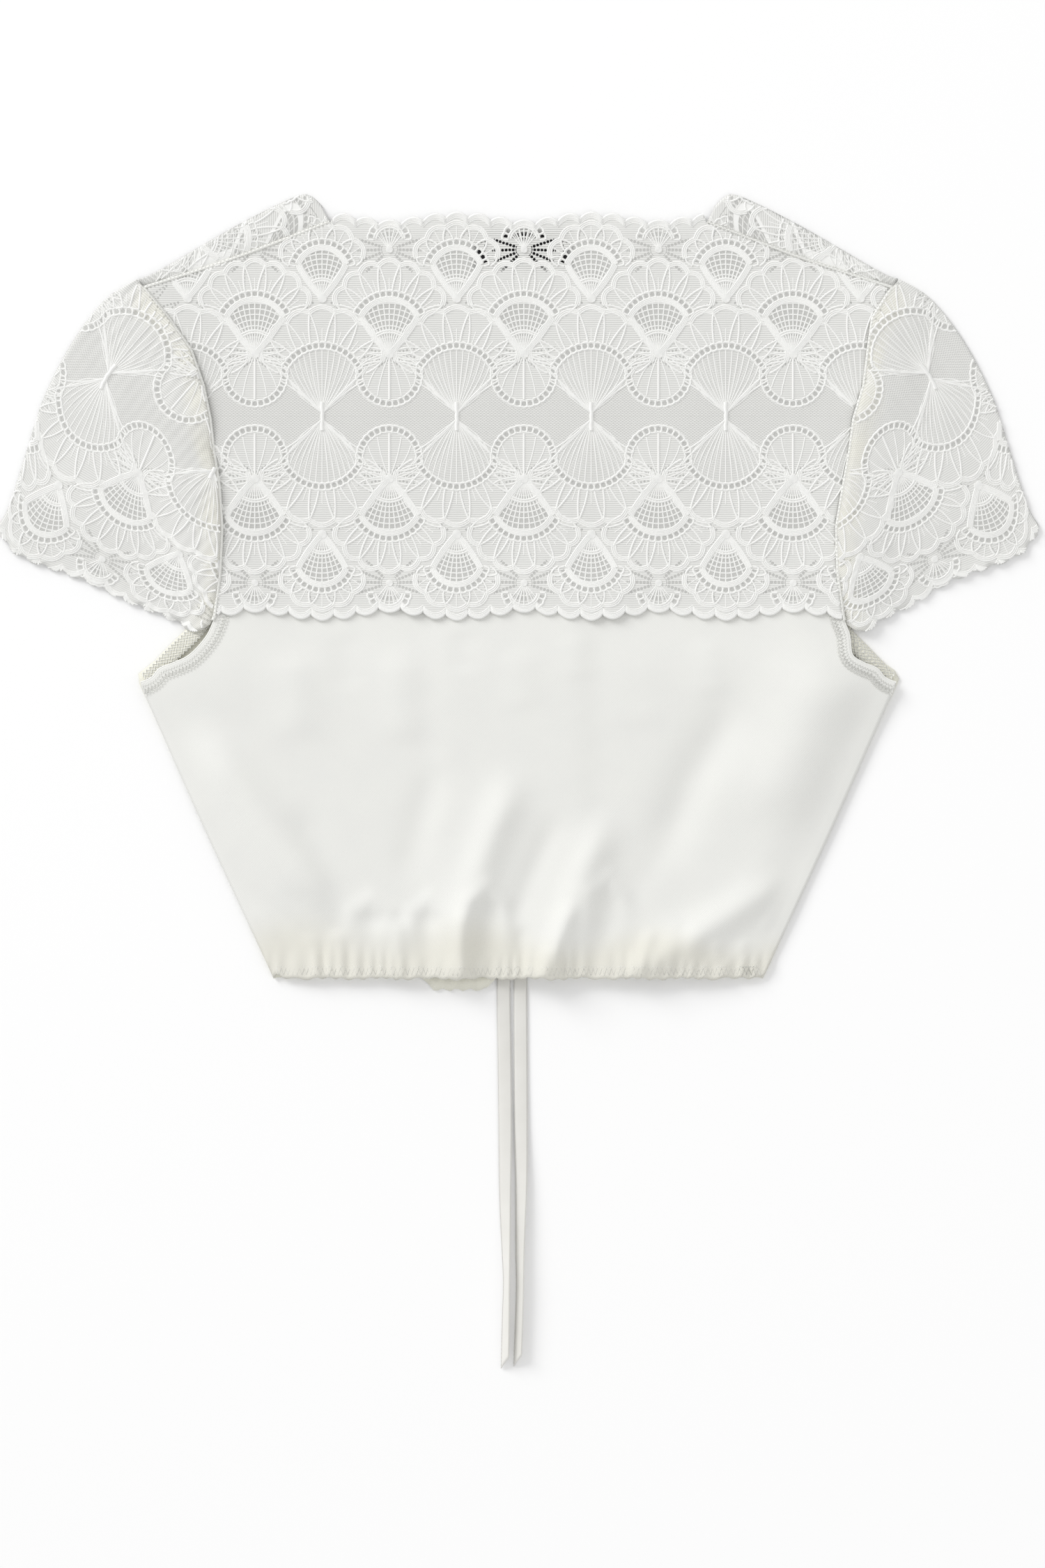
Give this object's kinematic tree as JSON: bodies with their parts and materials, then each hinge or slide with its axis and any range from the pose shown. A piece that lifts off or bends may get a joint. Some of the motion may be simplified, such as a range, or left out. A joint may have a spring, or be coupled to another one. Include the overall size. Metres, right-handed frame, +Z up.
{
  "type": "dirndl blouse, laid flat",
  "caption": "Short cotton and lace dirndl blouse laid flat with its back up: lace yoke and cap sleeves, gathered hem, satin tie ends.",
  "frame": {"origin": "on the surface it lies on, under the middle of the blouse's width and length without its tie ends", "axes": "+X to the right across the sleeves, seen from above with the neck away; +Y from the hem to the neck; +Z up from the surface"},
  "size_m": [0.5518, 0.6229, 0.0107],
  "materials": {
    "cotton": "matte",
    "lace": "matte",
    "seam_cotton": "matte",
    "elastic": "matte",
    "satin": "satin",
    "label": "matte",
    "tab": "matte"
  },
  "bodies": {
    "root": {"back_bodice": "cotton", "front_bodice": "cotton", "back_yoke": "lace", "front_lace_left": "lace", "front_lace_right": "lace", "sleeve_left": "lace", "sleeve_right": "lace", "seam_strip_left": "seam_cotton", "seam_strip_right": "seam_cotton", "armhole_band_back_left": "elastic", "armhole_band_back_right": "elastic", "armhole_band_front_left": "elastic", "armhole_band_front_right": "elastic", "neck_label": "label", "size_tab": "tab", "ribbon_left": "satin", "ribbon_right": "satin"}
  },
  "joints": []
}
